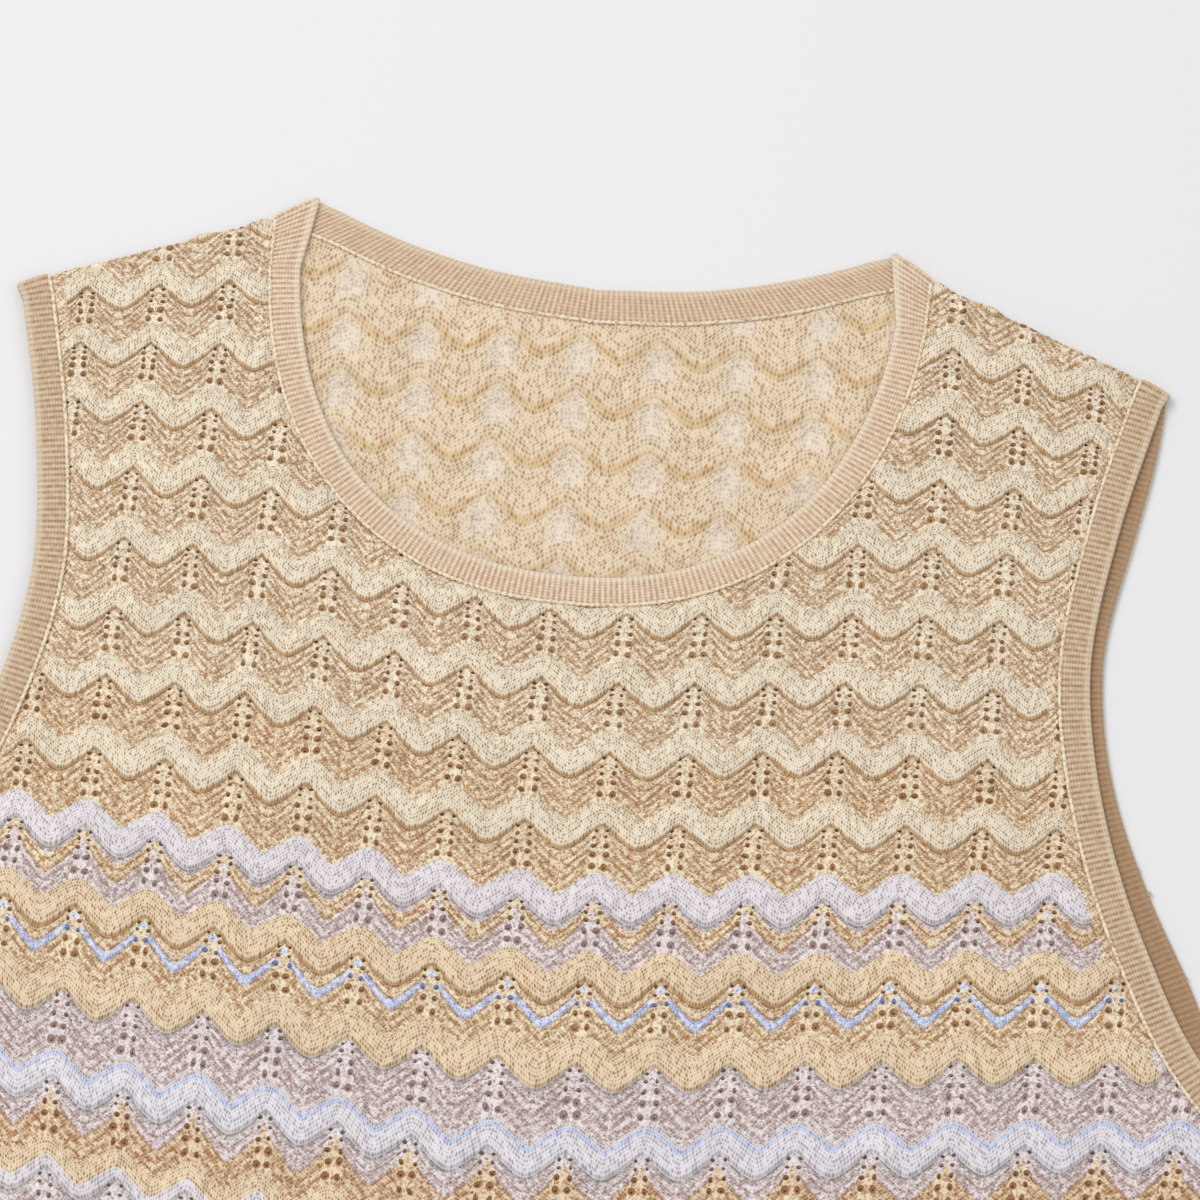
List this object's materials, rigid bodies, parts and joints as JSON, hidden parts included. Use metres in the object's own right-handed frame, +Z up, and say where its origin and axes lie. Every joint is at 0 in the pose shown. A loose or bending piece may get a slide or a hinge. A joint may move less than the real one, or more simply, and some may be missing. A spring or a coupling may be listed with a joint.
{
  "type": "sleeveless ripple-knit dress laid flat",
  "caption": "Sleeveless knit dress laid flat, front up: chevron ripple lace panels with raised welts, scoop neck, rib neckband and rib armhole bands.",
  "frame": {"origin": "middle of the dress's outline, on the surface that it lies on", "axes": "+Y from the hem to the neck, +Z up out of the front, +X to the wearer's left side, which is on the viewer's right"},
  "size_m": [0.504, 0.8996, 0.0084],
  "materials": {
    "ripple_knit_front": "fine knitted yarn, matt with a soft sheen, heathered beige with colour bands",
    "ripple_knit_back": "fine knitted yarn seen from its purl side, matt",
    "rib_trim": "fine one-by-one rib in beige yarn, matt"
  },
  "bodies": {
    "root": {"front_panel": "ripple_knit_front", "back_panel": "ripple_knit_back", "neckband": "rib_trim", "armhole_band_left": "rib_trim", "armhole_band_right": "rib_trim"}
  },
  "joints": []
}
